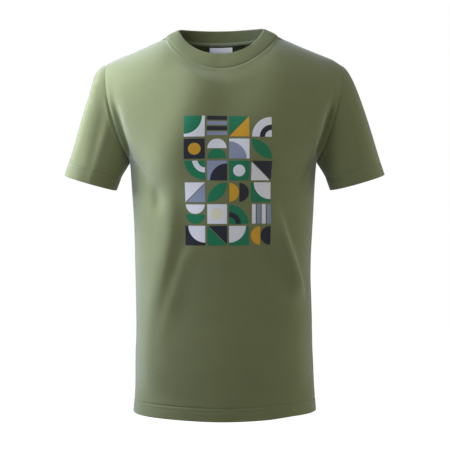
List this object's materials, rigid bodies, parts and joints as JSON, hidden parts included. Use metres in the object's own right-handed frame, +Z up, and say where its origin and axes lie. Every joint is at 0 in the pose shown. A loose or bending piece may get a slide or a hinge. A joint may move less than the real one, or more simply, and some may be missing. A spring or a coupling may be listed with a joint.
{
  "type": "t-shirt",
  "caption": "Child's short-sleeved T-shirt with a rib crew neck and a chest print, filled out as when worn.",
  "frame": {"origin": "midway between the two shoulder high points, where the neck seam crosses the shoulder seams", "axes": "+Z up, +X to the right as one looks at the front, and the front faces -Y"},
  "size_m": [0.4854, 0.197, 0.5799],
  "materials": {
    "jersey": "olive cotton single jersey, matt",
    "rib": "olive cotton rib knit, matt",
    "tape": "olive cotton jersey tape, matt",
    "label": "pale woven satin, bare",
    "print": "screen-printed ink on jersey, slightly satin"
  },
  "bodies": {
    "root": {"front_panel": "jersey", "back_panel": "jersey", "body_hem": "jersey", "sleeve_right": "jersey", "sleeve_left": "jersey", "sleeve_hem_right": "jersey", "sleeve_hem_left": "jersey", "collar": "rib", "neck_tape": "tape", "shoulder_tape_right": "tape", "shoulder_tape_left": "tape", "neck_label": "label", "chest_print": "print"}
  },
  "joints": []
}
